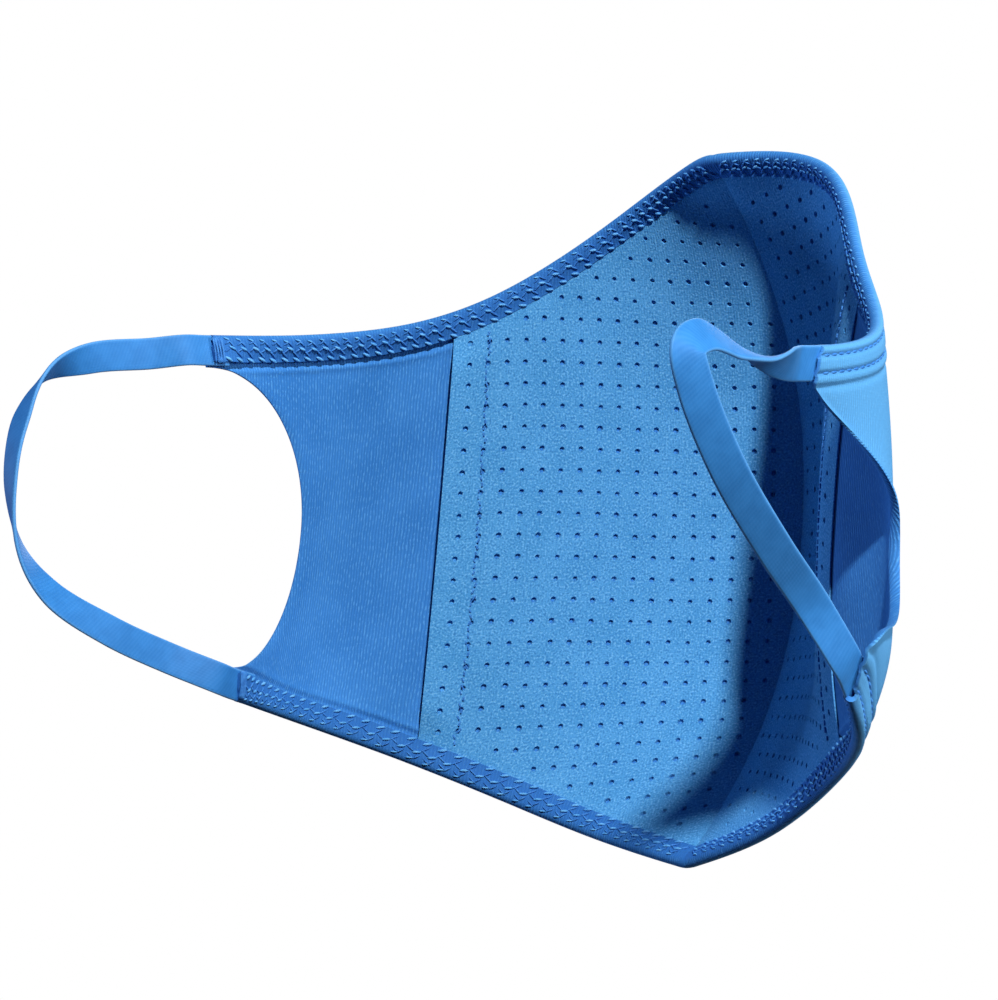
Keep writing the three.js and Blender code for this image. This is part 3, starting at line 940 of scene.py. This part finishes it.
# ------------------------------------------------------------------ the mask
halves = [
    Half("left", 1, LEFT_SECTIONS, LEFT_EAR_CUT, LEFT_LOOP),
    Half("right", -1, RIGHT_SECTIONS, RIGHT_EAR_CUT, RIGHT_LOOP),
]
HEM_LENGTHS = {}
for half in halves:
    for side in (1, -1):
        edge = half.from_edge(np.linspace(0, 1, 81), side, HEM_WIDTH / 2)
        run = half.point(np.linspace(0, 1, 81), edge)
        HEM_LENGTHS[(half.name, side)] = float(length(np.diff(run, axis=0)).sum())

for half in halves:
    panel = outer_panel(half)
    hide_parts(f"outer_panel_{half.name}", f"top_hem_{half.name}", f"bottom_hem_{half.name}")
    inner = lining(half)
    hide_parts(f"lining_{half.name}")
    for piece in (*coverstitch(half, 1), *coverstitch(half, -1), needle_rows(half, 1),
                  needle_rows(half, -1), bar_tacks(half), lining_stitches(half)):
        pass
    strap = ear_loop(half)
    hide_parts(f"ear_loop_{half.name}")


# ------------------------------------------------------------------ stage, light and camera
FLOOR_HEIGHT = -0.35
FLOOR_RADIUS = 0.9
TARGET = Vector((11.5, 46.6, -68.4)) * MM
CAMERA_DISTANCE = 0.6
CAMERA_AZIMUTH = math.radians(221.5)
CAMERA_ELEVATION = math.radians(-3)
CAMERA_LENS = 118.5


def direction(azimuth, elevation):
    """Towards a place round the object, with azimuth 0 in front of it."""
    return Vector((math.sin(azimuth) * math.cos(elevation), -math.cos(azimuth) * math.cos(elevation),
                   math.sin(elevation)))


def add_floor():
    mesh = bpy.data.meshes.new("floor")
    turn = np.arange(96) * 2 * math.pi / 96
    rim = [(FLOOR_RADIUS * math.cos(a), FLOOR_RADIUS * math.sin(a), FLOOR_HEIGHT) for a in turn]
    mesh.from_pydata(rim, [], [tuple(range(96))])
    material = bpy.data.materials.new("pale_floor")
    material.use_nodes = True
    surface = material.node_tree.nodes["Principled BSDF"]
    surface.inputs["Base Color"].default_value = (0.8, 0.8, 0.8, 1)
    surface.inputs["Roughness"].default_value = 0.9
    mesh.materials.append(material)
    floor = bpy.data.objects.new("floor", mesh)
    bpy.context.collection.objects.link(floor)
    floor.visible_diffuse = False


def add_area(name, azimuth, elevation, distance, size, power, colour=(1, 1, 1)):
    data = bpy.data.lights.new(name, "AREA")
    data.shape = "DISK"
    data.size = size
    data.energy = power
    data.color = colour
    lamp = bpy.data.objects.new(name, data)
    towards = direction(math.radians(azimuth), math.radians(elevation))
    lamp.location = TARGET + towards * distance
    lamp.rotation_mode = "QUATERNION"
    lamp.rotation_quaternion = towards.to_track_quat("Z", "Y")
    bpy.context.collection.objects.link(lamp)


def add_world():
    world = bpy.data.worlds.new("studio")
    bpy.context.scene.world = world
    world.use_nodes = True
    tree = world.node_tree
    background = tree.nodes["Background"]
    background.inputs["Color"].default_value = (1, 1, 1, 1)
    path = tree.nodes.new("ShaderNodeLightPath")
    strength = tree.nodes.new("ShaderNodeMapRange")
    strength.inputs["To Min"].default_value = 0.012
    strength.inputs["To Max"].default_value = 1.0
    tree.links.new(path.outputs["Is Camera Ray"], strength.inputs["Value"])
    tree.links.new(strength.outputs[0], background.inputs["Strength"])


def add_camera():
    data = bpy.data.cameras.new("camera")
    data.lens = CAMERA_LENS
    data.clip_start = 0.01
    camera = bpy.data.objects.new("camera", data)
    towards = direction(CAMERA_AZIMUTH, CAMERA_ELEVATION)
    camera.location = TARGET + towards * CAMERA_DISTANCE
    camera.rotation_mode = "QUATERNION"
    camera.rotation_quaternion = towards.to_track_quat("Z", "Y")
    bpy.context.collection.objects.link(camera)
    bpy.context.scene.camera = camera


bpy.context.scene.view_settings.view_transform = "Standard"
add_floor()
add_world()
add_area("key", azimuth=237, elevation=38, distance=1.4, size=0.1, power=24)
add_area("front_fill", azimuth=30, elevation=25, distance=1.3, size=0.8, power=7)
add_area("side_fill", azimuth=280, elevation=8, distance=1.3, size=0.5, power=10)
add_area("cool_fill", azimuth=145, elevation=10, distance=1.3, size=0.9, power=1.3,
         colour=(0.3, 0.45, 1))
add_area("wing_fill", azimuth=106, elevation=-2, distance=1.3, size=0.3, power=7,
         colour=(0.35, 0.6, 1))
add_camera()
